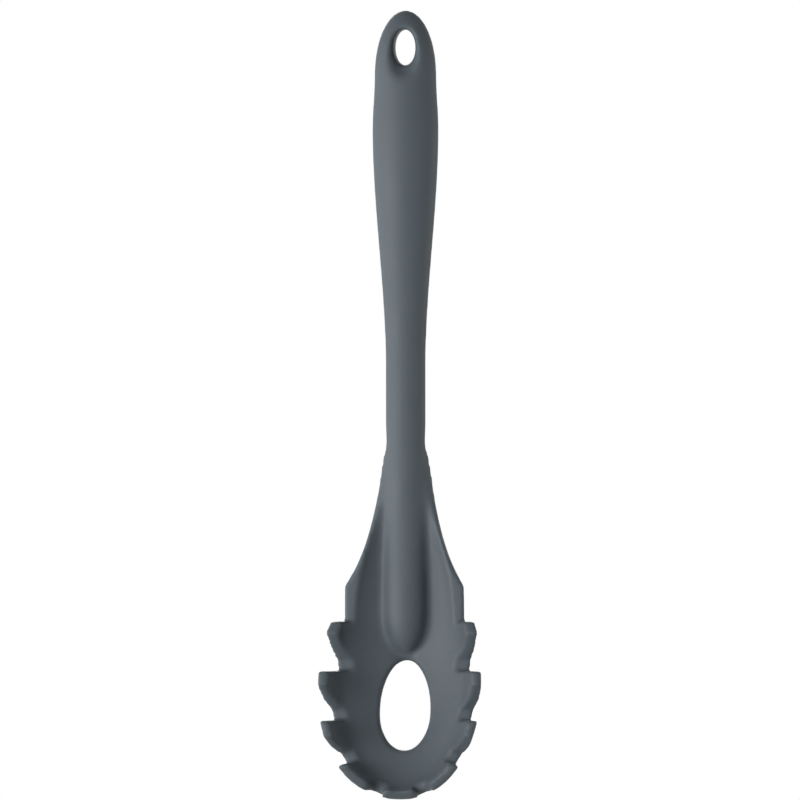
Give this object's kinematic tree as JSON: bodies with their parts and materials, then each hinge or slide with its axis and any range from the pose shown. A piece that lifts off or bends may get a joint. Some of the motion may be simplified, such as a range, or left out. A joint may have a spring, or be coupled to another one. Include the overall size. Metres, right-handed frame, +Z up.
{
  "type": "pasta server",
  "caption": "Long-handled spoon with a deep slotted bowl edged with blunt teeth, for lifting and draining pasta; hangs from an oval hole in its grip.",
  "frame": {"origin": "centre of the hanging hole, in the middle of the handle's thickness", "axes": "+Z up along the handle, from the bowl to the hanging hole; the bowl opens towards -Y; +X to the right of someone who looks into the bowl"},
  "size_m": [0.0622, 0.0298, 0.2999],
  "materials": {
    "silicone": "matte slate-grey silicone",
    "nylon": "moulded glass-filled nylon",
    "steel": "mill finish"
  },
  "bodies": {
    "root": {"silicone_body": "silicone", "nylon_core": "nylon", "steel_spine": "steel"}
  },
  "joints": []
}
